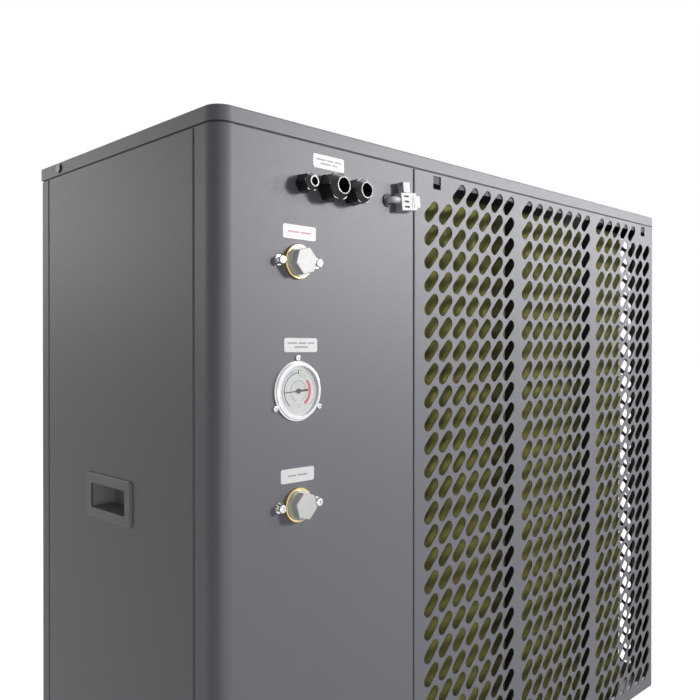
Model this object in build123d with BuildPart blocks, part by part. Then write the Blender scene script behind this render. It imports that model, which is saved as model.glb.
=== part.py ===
from build123d import *
import math
import os

# Air source heat pump in one sheet-metal cabinet, in millimetres.
# X runs along the face with the water connections and the coil guard, Y runs from
# that face into the cabinet, and Z is up from the floor. The origin is on the
# floor, under the middle of the cabinet.

# Cabinet
cabinet_width = 1065.0
cabinet_depth = 442.0
cabinet_height = 940.0
foot_height = 40.0
sheet = 1.2
fit_gap = 0.3
rear_radius = 20.0
front_radius = 5.0
panel_seam = 1.6
bend_radius = 2.0
return_depth = 10.0

# Lid
skirt_height = 17.7
skirt_seam = 2.6
lid_edge_radius = 2.2
lid_screw_radius = 6.3
lid_screw_head = 2.4
lid_screw_depth = 382.0
lid_screw_drop = 8.4
lid_screw_shank = 3.0

# Frame: tray, posts and rails
pan_sheet = 1.5
pan_rim = 25.0
drain_radius = 12.0
drain_spacing = 180.0
post_sheet = 1.5
rear_post_reach = 30.0
front_post_reach = 16.0
rail_height = 32.0
rail_shelf = 18.0

# Feet
foot_inset = 197.5
foot_width = 60.0
foot_sheet = 2.5
foot_overhang = 20.0
foot_slot_width = 12.0
foot_slot_length = 22.0

# Where the panels meet
service_width = 319.0
rear_wrap = 42.5
front_wrap = 25.2

# Slanted slots of the coil guard
slot_width = 16.8
slot_spread = 19.4
slot_angle = 45.0
slot_column_pitch = 31.25
slot_row_pitch = 31.95
slot_rows = 28
slot_first_column = 356.2
slot_group_columns = 7
slot_groups = 3
slot_group_extra = 20.4
slot_first_drop = 41.7
side_first_column = 66.0
notch_width = 16.7
notch_height = 18.2
notch_drop = 32.4
notch_first = 368.4
notch_last = 1006.9
stiffener_width = 18.2
stiffener_depth = 17.0

# Bent coil behind the guards
coil_start = 332.0
coil_gap = 29.0
coil_thickness = 44.0
coil_outer_radius = 91.0
coil_top_drop = 38.0
coil_side_end = 270.0
coil_lift = 8.0
plate_sheet = 1.5
plate_margin = 5.0
tube_radius = 4.76
tube_pitch = 25.4
tube_row_pitch = 22.0
tube_stub = 4.0
partition_offset = 6.0

# Fan behind the front panel
fan_centre_x = 672.5
fan_centre_height = 470.0
throat_radius = 285.0
bell_radius = 20.0
bell_depth = 80.0
bell_flange = 14.0
bell_sheet = 1.5
guard_standoff = 10.0
guard_wire = 3.2
guard_ring_pitch = 17.0
guard_disc_radius = 46.0
guard_spokes = 8
guard_foot = 14.0
fan_setback = 20.0
fan_depth = 96.0
blade_count = 3
blade_thickness = 3.5
blade_tip_gap = 7.0
blade_root_chord = 150.0
blade_tip_chord = 250.0
blade_root_pitch = 40.0
blade_tip_pitch = 20.0
hub_radius = 76.0
hub_length = 84.0
hub_wall = 6.0
shaft_radius = 7.0
motor_radius = 62.0
motor_length = 88.0
motor_flange_radius = 78.0
motor_flange = 6.0
bracket_spacing = 76.0
bracket_width = 30.0
bracket_depth = 22.0
bracket_sheet = 2.0
bracket_plate_height = 44.0
bracket_plate_spacing = 104.0

# Carrying handles
handle_drop = 453.4
handle_depth_left = 235.5
handle_depth_right = 343.0
handle_length = 118.0
handle_rise = 58.0
handle_flange = 3.0
handle_flange_radius = 6.5
handle_mouth_length = 88.7
handle_mouth_rise = 32.0
handle_pocket = 22.0
handle_back_length = 62.0
handle_back_radius = 14.0
handle_floor_rise = 4.5
handle_wall = 2.0

# Cable glands: place along the face, across flats, length and bore radius
gland_drop = 70.0
gland_left = (120.9, 19.5, 22.0, 4.8)
gland_middle = (161.0, 30.0, 29.0, 8.8)
gland_right = (200.3, 28.0, 28.5, 8.4)
gland_hex_height = 6.0
gland_inside = 12.0
gland_thread_share = 0.36
gland_wall = 2.2
gland_mouth_lip = 1.6
nut_straight_share = 0.68
nut_round_share = 0.95
nut_shoulder_share = 0.88

# Plug on its short cable
plug_place = 266.6
plug_drop = 70.0
plug_tilt = 7.0
plug_cable_radius = 4.4
plug_cable_bend = 5.4
plug_cable_reach = 13.2
plug_body_drop = 3.0
plug_length = 31.0
plug_rise = 23.2
plug_thickness = 11.5
plug_nose_length = 7.5
plug_nose_rise = 15.0
plug_nose_thickness = 9.0
plug_edge = 0.7
plug_slot_place = 9.8
plug_slot_length = 10.0
plug_slot_rise = 2.4
plug_slot_pitch = 6.75
plug_slot_depth = 4.0
plug_groove_place = 21.0
plug_groove_pitch = 3.6
plug_groove_width = 0.9
plug_groove_rise = 16.0
plug_groove_depth = 0.7
latch_place = 12.3
latch_length = 13.5
latch_rise = 13.9
latch_thickness = 9.8
latch_hole_length = 6.2
latch_hole_rise = 3.4
latch_hole_depth = 5.0
latch_hole_drop = 3.0
grommet_radius = 8.5
grommet_lip = 1.8

# Water connections
water_place = 113.2
outlet_drop = 161.5
inlet_drop = 443.0
fitting_radius = 20.0
fitting_proud = 4.4
fitting_inside = 16.0
fitting_bore = 12.5
cap_disc_radius = 17.4
cap_disc = 2.8
cap_flats = 28.5
cap_hex = 9.7
cap_plug = 10.0
cap_edge = 0.8
outlet_cap_turn = 13.0
inlet_cap_turn = -13.5
water_screw_spacing = 55.8
water_screw_radius = 2.5
water_screw_head_radius = 4.9
water_screw_head = 3.4
water_screw_proud = 9.0
water_screw_length = 24.0
water_washer_radius = 6.2
water_washer = 1.4
water_recess_reach = 5.2
water_recess_width = 1.3
water_recess_depth = 1.8

# Pressure gauge
gauge_drop = 311.2
gauge_radius = 33.4
gauge_proud = 4.8
gauge_rim = 4.4
gauge_flange_radius = 34.8
gauge_flange = 1.0
gauge_case_radius = 31.0
gauge_case_depth = 24.0
gauge_dial = 1.0
gauge_glass = 0.8
gauge_glass_drop = 0.6
gauge_hub_radius = 3.0
gauge_pointer_angle = 184.0
gauge_pointer_reach = 22.0
gauge_tail_reach = 14.0
gauge_pointer_width = 1.0
gauge_tail_width = 2.6
gauge_pointer_sheet = 0.5
gauge_screw_circle = 76.8
gauge_screw_radius = 1.6
gauge_screw_head_radius = 3.3
gauge_screw_head = 2.2
gauge_recess_reach = 3.6
gauge_recess_width = 0.9
gauge_recess_depth = 1.1

# Levels and faces that follow from the sizes above
left = -cabinet_width / 2
right = cabinet_width / 2
rear = -cabinet_depth / 2
front = cabinet_depth / 2
bottom = foot_height
lid_top = foot_height + cabinet_height
skirt_low = lid_top - skirt_height
panel_top = skirt_low - skirt_seam
lid_under = lid_top - sheet
frame_inset = sheet + fit_gap
lid_curve = lid_edge_radius - sheet
curve_drop = lid_curve - math.sqrt(lid_curve**2 - (lid_curve - fit_gap) ** 2)
frame_top = lid_under - curve_drop - fit_gap / 2
rail_low = frame_top - rail_height
pan_floor = bottom + pan_sheet
rim_top = bottom + pan_rim
seam_x = left + service_width
handle_height = lid_top - handle_drop
gland_height = lid_top - gland_drop
plug_height = lid_top - plug_drop
outlet_height = lid_top - outlet_drop
inlet_height = lid_top - inlet_drop
gauge_height = lid_top - gauge_drop

os.makedirs("parts", exist_ok=True)


def outline(inset):
    """Plan outline of the cabinet, drawn inwards by inset, in the active sketch."""
    base = Rectangle(cabinet_width - 2 * inset, cabinet_depth - 2 * inset)
    fillet(base.vertices().group_by(Axis.Y)[0], rear_radius - inset)
    fillet(base.vertices().group_by(Axis.Y)[-1], front_radius - inset)


def wall(points, radii, low, high, thickness=sheet):
    """Upright bent sheet along a plan path at the middle of its thickness."""
    with BuildSketch(Plane.XY.offset(low)) as plan:
        with BuildLine():
            FilletPolyline(*points, radius=radii)
        trace(line_width=thickness)
    extrude(plan.sketch, amount=high - low)


def clear_frame_bands():
    """Cut a panel's inner returns back where the tray's rim and the rails stand."""
    for low, height in ((bottom, pan_rim + fit_gap), (rail_low - fit_gap, rail_height)):
        with BuildSketch(Plane.XY.offset(low)) as band:
            outline(sheet)
        extrude(band.sketch, amount=height, mode=Mode.SUBTRACT)


def rear_plane(x, z, proud=0.0):
    """Sketch plane on the photographed face, looking at it from outside."""
    return Plane(origin=(x, rear - proud, z), x_dir=(1, 0, 0), z_dir=(0, -1, 0))


def front_plane(x, z, proud=0.0):
    """Sketch plane on the fan side, looking at it from outside."""
    return Plane(origin=(x, front + proud, z), x_dir=(-1, 0, 0), z_dir=(0, 1, 0))


def end_plane(side, y, z, proud=0.0):
    """Sketch plane on the left (-1) or right (1) end, looking at it from outside."""
    return Plane(origin=(side * (right + proud), y, z), x_dir=(0, side, 0), z_dir=(side, 0, 0))


# Tray that carries everything, with a rim all round and drain holes
with BuildPart() as base_pan:
    with BuildSketch(Plane.XY.offset(bottom)):
        outline(frame_inset)
    extrude(amount=pan_rim)
    offset(amount=-pan_sheet, openings=base_pan.faces().sort_by(Axis.Z)[-1])
    with BuildSketch(Plane.XY.offset(bottom)):
        with GridLocations(drain_spacing, drain_spacing, 3, 1):
            Circle(drain_radius)
    extrude(amount=pan_sheet, mode=Mode.SUBTRACT)
base_pan.part.label = "base_pan"
export_step(base_pan.part, "parts/base_pan.step")

# Channel feet, each with a slot at either end outside the cabinet
foot_length = cabinet_depth + 2 * foot_overhang * 2
foot_slot_spacing = cabinet_depth + 2 * foot_overhang
for side, name in ((-1, "foot_rail_left"), (1, "foot_rail_right")):
    foot_x = side * (right - foot_inset)
    with BuildPart() as foot:
        with BuildSketch():
            with Locations((foot_x, 0)):
                Rectangle(foot_width, foot_length)
        extrude(amount=foot_sheet)
        with BuildSketch(Plane.XY.offset(foot_sheet)):
            with Locations(
                (foot_x - (foot_width - foot_sheet) / 2, 0), (foot_x + (foot_width - foot_sheet) / 2, 0)
            ):
                Rectangle(foot_sheet, cabinet_depth - 2 * frame_inset)
        extrude(amount=foot_height - foot_sheet)
        with BuildSketch():
            with Locations((foot_x, -foot_slot_spacing / 2), (foot_x, foot_slot_spacing / 2)):
                SlotOverall(foot_slot_length, foot_slot_width)
        extrude(amount=foot_sheet, mode=Mode.SUBTRACT)
    foot.part.label = name
    export_step(foot.part, f"parts/{name}.step")

# Rolled posts in the four corners, from the tray's rim to the lid
post_line = frame_inset + post_sheet / 2
with BuildPart() as corner_posts:
    for side_x in (-1, 1):
        for side_y, radius, reach in (
            (-1, rear_radius, rear_post_reach),
            (1, front_radius, front_post_reach),
        ):
            corner_x = side_x * (right - post_line)
            corner_y = side_y * (front - post_line)
            wall(
                [
                    (side_x * (right - reach), corner_y),
                    (corner_x, corner_y),
                    (corner_x, side_y * (front - reach)),
                ],
                radius - post_line,
                rim_top + fit_gap,
                frame_top,
                post_sheet,
            )
corner_posts.part.label = "corner_posts"
export_step(corner_posts.part, "parts/corner_posts.step")

# Angle rails between the posts, under the lid
with BuildPart() as top_rails:
    for side_y, reach in ((-1, rear_post_reach), (1, front_post_reach)):
        rail_span = cabinet_width - 2 * (reach + fit_gap)
        with BuildSketch(Plane.XY.offset(rail_low)):
            with Locations((0, side_y * (front - post_line))):
                Rectangle(rail_span, post_sheet)
        extrude(amount=rail_height)
        with BuildSketch(Plane.XY.offset(frame_top - post_sheet)):
            with Locations((0, side_y * (front - frame_inset - rail_shelf / 2))):
                Rectangle(rail_span, rail_shelf)
        extrude(amount=post_sheet)
    end_span = cabinet_depth - rear_post_reach - front_post_reach - 2 * fit_gap
    end_middle = (rear_post_reach - front_post_reach) / 2
    for side_x in (-1, 1):
        with BuildSketch(Plane.XY.offset(rail_low)):
            with Locations((side_x * (right - post_line), end_middle)):
                Rectangle(post_sheet, end_span)
        extrude(amount=rail_height)
top_rails.part.label = "top_rails"
export_step(top_rails.part, "parts/top_rails.step")

# Lid: one shell with a skirt
with BuildPart() as top_cover:
    with BuildSketch(Plane.XY.offset(skirt_low)):
        outline(0)
    extrude(amount=skirt_height)
    fillet(top_cover.faces().sort_by(Axis.Z)[-1].edges(), lid_edge_radius)
    offset(amount=-sheet, openings=top_cover.faces().sort_by(Axis.Z)[0])
    for side in (-1, 1):
        with BuildSketch(end_plane(side, rear + lid_screw_depth, lid_top - lid_screw_drop)):
            Circle(lid_screw_shank + fit_gap)
        extrude(amount=-2 * sheet, mode=Mode.SUBTRACT)
top_cover.part.label = "top_cover"
export_step(top_cover.part, "parts/top_cover.step")

# Lid screws in the skirt's ends, through the rails
with BuildPart() as lid_screws:
    for side in (-1, 1):
        with BuildSketch(end_plane(side, rear + lid_screw_depth, lid_top - lid_screw_drop)):
            Circle(lid_screw_radius)
        extrude(amount=lid_screw_head)
        with BuildSketch(end_plane(side, rear + lid_screw_depth, lid_top - lid_screw_drop)):
            Circle(lid_screw_shank)
        extrude(amount=-frame_inset)
lid_screws.part.label = "lid_screws"
export_step(lid_screws.part, "parts/lid_screws.step")

# Faces of the panels' paths, at the middle of the sheet
skin = sheet / 2
service_end = seam_x - panel_seam / 2 - skin
guard_end = seam_x + panel_seam / 2 + skin
rear_wrap_end = rear + rear_wrap - panel_seam / 2 - skin
side_rear_end = rear + rear_wrap + panel_seam / 2 + skin
front_wrap_end = front - front_wrap + panel_seam / 2 + skin
side_front_end = front - front_wrap - panel_seam / 2 - skin
bend = bend_radius - skin


def wrapped_panel(side, face, seam, wrap_end, radius):
    """Panel on the rear or front face that wraps round the cabinet's left or right corner."""
    flat = face - math.copysign(skin, face)
    edge = side * (right - skin)
    inner_face = flat - math.copysign(return_depth, face)
    inner_edge = edge - side * return_depth
    wall(
        [(seam, inner_face), (seam, flat), (edge, flat), (edge, wrap_end), (inner_edge, wrap_end)],
        [bend, radius - skin, bend],
        bottom,
        panel_top,
    )
    clear_frame_bands()


def end_panel(side):
    """Flat panel on the left or right end, with a return along each upright edge."""
    edge = side * (right - skin)
    inner = edge - side * return_depth
    wall(
        [(inner, side_rear_end), (edge, side_rear_end), (edge, side_front_end), (inner, side_front_end)],
        bend,
        bottom,
        panel_top,
    )
    clear_frame_bands()


def slot_point(column, row):
    """Place of a slot's middle on the coil guard, from the face's left edge and the lid."""
    group = column // slot_group_columns
    along = slot_first_column + column * slot_column_pitch + group * slot_group_extra
    return left + along, lid_top - slot_first_drop - row * slot_row_pitch


# Service panel: holes for the glands, the plug, the water connections and the gauge
glands = (gland_left, gland_middle, gland_right)
gland_thread = [flats * gland_thread_share for place, flats, length, bore in glands]
with BuildPart() as service_panel:
    wrapped_panel(-1, rear, service_end, rear_wrap_end, rear_radius)
    with BuildSketch(rear_plane(0, 0)):
        for (place, flats, length, bore), thread in zip(glands, gland_thread):
            with Locations((left + place, gland_height)):
                Circle(thread + fit_gap)
        with Locations((left + plug_place, plug_height)):
            Circle(grommet_radius - grommet_lip + fit_gap)
        with Locations((left + water_place, outlet_height), (left + water_place, inlet_height)):
            Circle(fitting_radius + fit_gap)
            with GridLocations(water_screw_spacing, 0, 2, 1):
                Circle(water_screw_radius + fit_gap)
        with Locations((left + water_place, gauge_height)):
            Circle(gauge_case_radius + fit_gap)
            with PolarLocations(gauge_screw_circle / 2, 3, start_angle=90):
                Circle(gauge_screw_radius + fit_gap)
    extrude(amount=-2 * sheet, mode=Mode.SUBTRACT)
service_panel.part.label = "service_panel"
export_step(service_panel.part, "parts/service_panel.step")

# Perforated coil guard, with notches in its top corners
slot_columns = slot_group_columns * slot_groups
notch_reach = (notch_width + slot_width + slot_spread) / 2
slot_points = []
for column in range(slot_columns):
    for row in range(slot_rows):
        x, z = slot_point(column, row)
        in_notch = row == 0 and min(abs(x - left - notch_first), abs(x - left - notch_last)) < notch_reach
        if not in_notch:
            slot_points.append((x, z))
with BuildPart() as coil_guard:
    wrapped_panel(1, rear, guard_end, rear_wrap_end, rear_radius)
    with BuildSketch(rear_plane(0, 0)):
        with Locations(*slot_points):
            SlotCenterToCenter(slot_spread, slot_width, rotation=slot_angle)
        with Locations(
            (left + notch_first, lid_top - notch_drop), (left + notch_last, lid_top - notch_drop)
        ):
            Rectangle(notch_width, notch_height)
    extrude(amount=-3 * sheet, mode=Mode.SUBTRACT)
coil_guard.part.label = "coil_guard"
export_step(coil_guard.part, "parts/coil_guard.step")

# Channels that stiffen the guard behind its blank strips
stiffener_back = rear + sheet + fit_gap + stiffener_depth
with BuildPart() as guard_stiffeners:
    for group in range(1, slot_groups):
        last_x, _ = slot_point(group * slot_group_columns - 1, 0)
        next_x, _ = slot_point(group * slot_group_columns, 0)
        strip_x = (last_x + next_x) / 2
        with BuildSketch(Plane.XY.offset(rim_top + fit_gap)):
            with Locations((strip_x, stiffener_back - stiffener_depth / 2)):
                Rectangle(stiffener_width, stiffener_depth)
            with Locations((strip_x, stiffener_back - stiffener_depth / 2 + sheet)):
                Rectangle(stiffener_width - 2 * sheet, stiffener_depth, mode=Mode.SUBTRACT)
        extrude(amount=rail_low - rim_top - 2 * fit_gap)
guard_stiffeners.part.label = "guard_stiffeners"
export_step(guard_stiffeners.part, "parts/guard_stiffeners.step")

# Carrying handles: a flange on the panel and a pocket behind it with a curved back
def handle_window(side, depth):
    """Opening in an end panel that a handle's pocket passes through."""
    with BuildSketch(end_plane(side, rear + depth, handle_height)) as window:
        Rectangle(
            handle_mouth_length + 2 * (handle_wall + fit_gap),
            handle_mouth_rise + 2 * (handle_wall + fit_gap),
        )
    extrude(window.sketch, amount=-2 * sheet, mode=Mode.SUBTRACT)


def pocket_form(side, depth, margin, proud):
    """Solid form of a handle's pocket, drawn larger by margin, from proud of the panel inwards."""
    mouth = handle_mouth_length / 2 + margin
    back = handle_back_length / 2 + margin
    low = -handle_mouth_rise / 2 - margin
    high = handle_mouth_rise / 2 + margin
    deep = handle_pocket + margin
    middle = rear + depth
    face = side * (right + proud)
    inner = side * (right - deep)
    with BuildPart(mode=Mode.PRIVATE) as form:
        with BuildSketch(Plane.XY.offset(handle_height + low)) as plan:
            Polygon(
                (face, middle - mouth),
                (face, middle + mouth),
                (side * right, middle + mouth),
                (inner, middle + back),
                (inner, middle - back),
                (side * right, middle - mouth),
                align=None,
            )
            backs = plan.vertices().filter_by(lambda corner: abs(corner.X - inner) < fit_gap)
            fillet(backs, handle_back_radius)
        extrude(plan.sketch, amount=high - low)
        with BuildSketch(Plane.XZ.offset(-(middle + mouth))) as section:
            Polygon(
                (face, handle_height + low),
                (side * right, handle_height + low),
                (inner, handle_height + low + handle_floor_rise),
                (inner, handle_height + high),
                (face, handle_height + high),
                align=None,
            )
        extrude(section.sketch, amount=2 * mouth, mode=Mode.INTERSECT)
    return form.part


for side, name, depth in ((-1, "handle_left", handle_depth_left), (1, "handle_right", handle_depth_right)):
    with BuildPart() as handle:
        with BuildSketch(end_plane(side, rear + depth, handle_height)):
            RectangleRounded(handle_length, handle_rise, handle_flange_radius)
        extrude(amount=handle_flange)
        fillet(handle.faces().sort_by(Axis.X)[0 if side < 0 else -1].edges(), handle_flange * 0.9)
        add(pocket_form(side, depth, handle_wall, 0))
        add(pocket_form(side, depth, 0, handle_flange), mode=Mode.SUBTRACT)
    handle.part.label = name
    export_step(handle.part, f"parts/{name}.step")

# End panels: the left one plain, the right one perforated in front of the coil
with BuildPart() as left_side_panel:
    end_panel(-1)
    handle_window(-1, handle_depth_left)
left_side_panel.part.label = "left_side_panel"
export_step(left_side_panel.part, "parts/left_side_panel.step")

with BuildPart() as right_side_panel:
    end_panel(1)
    handle_window(1, handle_depth_right)
    with BuildSketch(end_plane(1, rear + side_first_column, lid_top - slot_first_drop)):
        with Locations(
            *[
                (column * slot_column_pitch, -row * slot_row_pitch)
                for column in range(slot_group_columns)
                for row in range(slot_rows)
            ]
        ):
            SlotCenterToCenter(slot_spread, slot_width, rotation=slot_angle)
    extrude(amount=-sheet, mode=Mode.SUBTRACT)
right_side_panel.part.label = "right_side_panel"
export_step(right_side_panel.part, "parts/right_side_panel.step")

# Fan side: a plain panel over the closed compartment and a panel with the fan's opening
fan_x = left + fan_centre_x
fan_z = bottom + fan_centre_height
with BuildPart() as front_service_panel:
    wrapped_panel(-1, front, service_end, front_wrap_end, front_radius)
front_service_panel.part.label = "front_service_panel"
export_step(front_service_panel.part, "parts/front_service_panel.step")

with BuildPart() as front_fan_panel:
    wrapped_panel(1, front, guard_end, front_wrap_end, front_radius)
    with BuildSketch(front_plane(fan_x, fan_z)):
        Circle(throat_radius + bell_radius)
    extrude(amount=-2 * sheet, mode=Mode.SUBTRACT)
front_fan_panel.part.label = "front_fan_panel"
export_step(front_fan_panel.part, "parts/front_fan_panel.step")

# Bellmouth ring behind the fan panel
bell_face = front - sheet
fan_axis = Axis((fan_x, 0, fan_z), (0, 1, 0))
fan_profile = Plane(origin=(fan_x, 0, fan_z), x_dir=(1, 0, 0), z_dir=(0, 0, 1))
with BuildPart() as fan_bellmouth:
    with BuildSketch(fan_profile):
        with BuildLine():
            FilletPolyline(
                (throat_radius + bell_radius + bell_flange, bell_face - bell_sheet / 2),
                (throat_radius - bell_sheet / 2, bell_face - bell_sheet / 2),
                (throat_radius - bell_sheet / 2, bell_face - bell_depth),
                radius=bell_radius,
            )
        trace(line_width=bell_sheet)
    revolve(axis=fan_axis)
fan_bellmouth.part.label = "fan_bellmouth"
export_step(fan_bellmouth.part, "parts/fan_bellmouth.step")

# Fan guard: rings on spokes that stand off the panel on short legs
guard_radius = throat_radius + bell_radius + guard_foot
ring_count = int((guard_radius - guard_disc_radius) / guard_ring_pitch)
with BuildPart() as fan_guard:
    with BuildSketch(front_plane(fan_x, fan_z, guard_standoff + guard_wire)):
        for ring in range(ring_count + 1):
            radius = guard_radius - ring * guard_ring_pitch
            Circle(radius)
            Circle(radius - guard_wire, mode=Mode.SUBTRACT)
        Circle(guard_disc_radius)
    extrude(amount=guard_wire)
    with BuildSketch(front_plane(fan_x, fan_z, guard_standoff)):
        with PolarLocations(guard_radius / 2, guard_spokes):
            Rectangle(guard_radius, 2 * guard_wire)
    extrude(amount=guard_wire)
    with BuildSketch(front_plane(fan_x, fan_z)):
        with PolarLocations(guard_radius - guard_wire, guard_spokes):
            Rectangle(2 * guard_wire, 2 * guard_wire)
    extrude(amount=guard_standoff)
fan_guard.part.label = "fan_guard"
export_step(fan_guard.part, "parts/fan_guard.step")

# Impeller: a cup-shaped hub with twisted blades
fan_front = front - sheet - fan_setback
fan_middle = fan_front - fan_depth / 2
hub_back = fan_front - hub_length
motor_face = hub_back - hub_wall
blade_tip_radius = throat_radius - bell_sheet - blade_tip_gap
with BuildPart() as fan_impeller:
    with BuildSketch(Plane.XZ.offset(-fan_front)):
        with Locations((fan_x, fan_z)):
            Circle(hub_radius)
    extrude(amount=hub_length)
    fillet(fan_impeller.faces().sort_by(Axis.Y)[-1].edges(), hub_wall)
    with BuildSketch(Plane.XZ.offset(-hub_back)):
        with Locations((fan_x, fan_z)):
            Circle(hub_radius - hub_wall)
            Circle(2 * shaft_radius, mode=Mode.SUBTRACT)
    extrude(amount=-(hub_length - hub_wall), mode=Mode.SUBTRACT)
    with BuildSketch(Plane.XZ.offset(-hub_back)):
        with Locations((fan_x, fan_z)):
            Circle(shaft_radius + fit_gap)
    extrude(amount=-(hub_length - hub_wall), mode=Mode.SUBTRACT)
    for blade in range(blade_count):
        turn = math.radians(90 + blade * 360 / blade_count)
        out = Vector(math.cos(turn), 0, math.sin(turn))
        along = Vector(-math.sin(turn), 0, math.cos(turn))
        for radius, chord, pitch in (
            (hub_radius - hub_wall / 2, blade_root_chord, blade_root_pitch),
            (blade_tip_radius, blade_tip_chord, blade_tip_pitch),
        ):
            lean = math.radians(pitch)
            centre = Vector(fan_x, fan_middle, fan_z) + out * radius
            chord_dir = along * math.cos(lean) + Vector(0, math.sin(lean), 0)
            with BuildSketch(Plane(origin=centre, x_dir=chord_dir, z_dir=out)):
                RectangleRounded(chord, blade_thickness, blade_thickness * 0.45)
        loft()
    with BuildSketch(Plane.XZ.offset(-front)):
        with Locations((fan_x, fan_z)):
            Circle(blade_tip_radius)
    extrude(amount=cabinet_depth, mode=Mode.INTERSECT)
fan_impeller.part.label = "fan_impeller"
export_step(fan_impeller.part, "parts/fan_impeller.step")

# Fan motor: flange, finned can and the shaft that carries the impeller
with BuildPart() as fan_motor:
    with BuildSketch(Plane.XZ.offset(-motor_face)):
        with Locations((fan_x, fan_z)):
            Circle(motor_radius)
    extrude(amount=motor_length)
    fillet(fan_motor.faces().sort_by(Axis.Y)[-1].edges(), hub_wall)
    with BuildSketch(Plane.XZ.offset(-(motor_face - motor_length))):
        with Locations((fan_x, fan_z)):
            Circle(motor_flange_radius)
    extrude(amount=-motor_flange)
    with BuildSketch(Plane.XZ.offset(-motor_face)):
        with Locations((fan_x, fan_z)):
            Circle(shaft_radius)
    extrude(amount=-(fan_front - hub_wall - motor_face - fit_gap))
fan_motor.part.label = "fan_motor"
export_step(fan_motor.part, "parts/fan_motor.step")

# Motor bracket: two channels from the tray to the lid, joined behind the motor
bracket_face = motor_face - motor_length
with BuildPart() as motor_bracket:
    with BuildSketch(Plane.XY.offset(pan_floor)):
        for side in (-1, 1):
            with Locations((fan_x + side * bracket_spacing / 2, bracket_face - bracket_depth / 2)):
                Rectangle(bracket_width, bracket_depth)
            with Locations(
                (fan_x + side * bracket_spacing / 2, bracket_face - bracket_depth / 2 - bracket_sheet)
            ):
                Rectangle(bracket_width - 2 * bracket_sheet, bracket_depth, mode=Mode.SUBTRACT)
    extrude(amount=frame_top - pan_floor)
    for side in (-1, 1):
        plate_low = fan_z + side * bracket_plate_spacing / 2 - bracket_plate_height / 2
        with BuildSketch(Plane.XY.offset(plate_low)):
            with Locations((fan_x, bracket_face - bracket_sheet / 2)):
                Rectangle(bracket_spacing, bracket_sheet)
        extrude(amount=bracket_plate_height)
motor_bracket.part.label = "motor_bracket"
export_step(motor_bracket.part, "parts/motor_bracket.step")

# Wall between the closed compartment and the coil
partition_x = seam_x + partition_offset
inner_reach = frame_inset + post_sheet + fit_gap
with BuildPart() as partition_plate:
    with BuildSketch(Plane.XY.offset(pan_floor)):
        with Locations((partition_x + sheet / 2, 0)):
            Rectangle(sheet, cabinet_depth - 2 * inner_reach)
    extrude(amount=frame_top - post_sheet - fit_gap - pan_floor)
partition_plate.part.label = "partition_plate"
export_step(partition_plate.part, "parts/partition_plate.step")

# Bent fin pack, its end plates and the return bends at its free end
coil_low = pan_floor + coil_lift
coil_high = lid_top - coil_top_drop
coil_y = rear + coil_gap + coil_thickness / 2
coil_x = right - coil_gap - coil_thickness / 2
coil_end_y = rear + coil_side_end
with BuildPart() as coil_fin_pack:
    wall(
        [(left + coil_start, coil_y), (coil_x, coil_y), (coil_x, coil_end_y)],
        coil_outer_radius - coil_thickness / 2,
        coil_low,
        coil_high,
        coil_thickness,
    )
coil_fin_pack.part.label = "coil_fin_pack"
export_step(coil_fin_pack.part, "parts/coil_fin_pack.step")

plate_height = coil_high + plate_margin - pan_floor
plate_width = coil_thickness + 2 * plate_margin
with BuildPart() as coil_plate_inner:
    with BuildSketch(Plane.XY.offset(pan_floor)):
        with Locations((left + coil_start - plate_sheet / 2, coil_y)):
            Rectangle(plate_sheet, plate_width)
    extrude(amount=plate_height)
coil_plate_inner.part.label = "coil_plate_inner"
export_step(coil_plate_inner.part, "parts/coil_plate_inner.step")

with BuildPart() as coil_plate_outer:
    with BuildSketch(Plane.XY.offset(pan_floor)):
        with Locations((coil_x, coil_end_y + plate_sheet / 2)):
            Rectangle(plate_width, plate_sheet)
    extrude(amount=plate_height)
coil_plate_outer.part.label = "coil_plate_outer"
export_step(coil_plate_outer.part, "parts/coil_plate_outer.step")

bend_face = coil_end_y + plate_sheet
bend_pairs = int((coil_high - coil_low) / (2 * tube_pitch))
with BuildPart() as coil_return_bends:
    for pair in range(bend_pairs):
        low_tube = coil_low + tube_pitch * (2 * pair + 0.5)
        for row_side in (-1, 1):
            tube_x = coil_x + row_side * tube_row_pitch / 2
            with BuildLine() as bend_path:
                Line((tube_x, bend_face, low_tube), (tube_x, bend_face + tube_stub, low_tube))
                ThreePointArc(
                    (tube_x, bend_face + tube_stub, low_tube),
                    (tube_x, bend_face + tube_stub + tube_pitch / 2, low_tube + tube_pitch / 2),
                    (tube_x, bend_face + tube_stub, low_tube + tube_pitch),
                )
                Line(
                    (tube_x, bend_face + tube_stub, low_tube + tube_pitch),
                    (tube_x, bend_face, low_tube + tube_pitch),
                )
            with BuildSketch(Plane(origin=(tube_x, bend_face, low_tube), x_dir=(1, 0, 0), z_dir=(0, 1, 0))):
                Circle(tube_radius)
            sweep(path=bend_path.wire())
coil_return_bends.part.label = "coil_return_bends"
export_step(coil_return_bends.part, "parts/coil_return_bends.step")

# Cable glands: hexagon bodies through the panel, and domed nuts with flats
neck_gap = fit_gap
with BuildPart() as gland_bodies:
    for (place, flats, length, bore), thread in zip(glands, gland_thread):
        corner = flats / math.sqrt(3)
        neck = bore + gland_wall
        with BuildSketch(rear_plane(left + place, gland_height)):
            RegularPolygon(corner, 6)
        extrude(amount=gland_hex_height)
        with BuildSketch(rear_plane(left + place, gland_height, gland_hex_height)):
            Circle(neck)
        extrude(amount=length / 2 - gland_hex_height)
        with BuildSketch(rear_plane(left + place, gland_height)):
            Circle(thread)
        extrude(amount=-gland_inside)
        with BuildSketch(rear_plane(left + place, gland_height, -gland_inside)):
            Circle(bore)
        extrude(amount=gland_inside + length, mode=Mode.SUBTRACT)
gland_bodies.part.label = "gland_bodies"
export_step(gland_bodies.part, "parts/gland_bodies.step")

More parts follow.
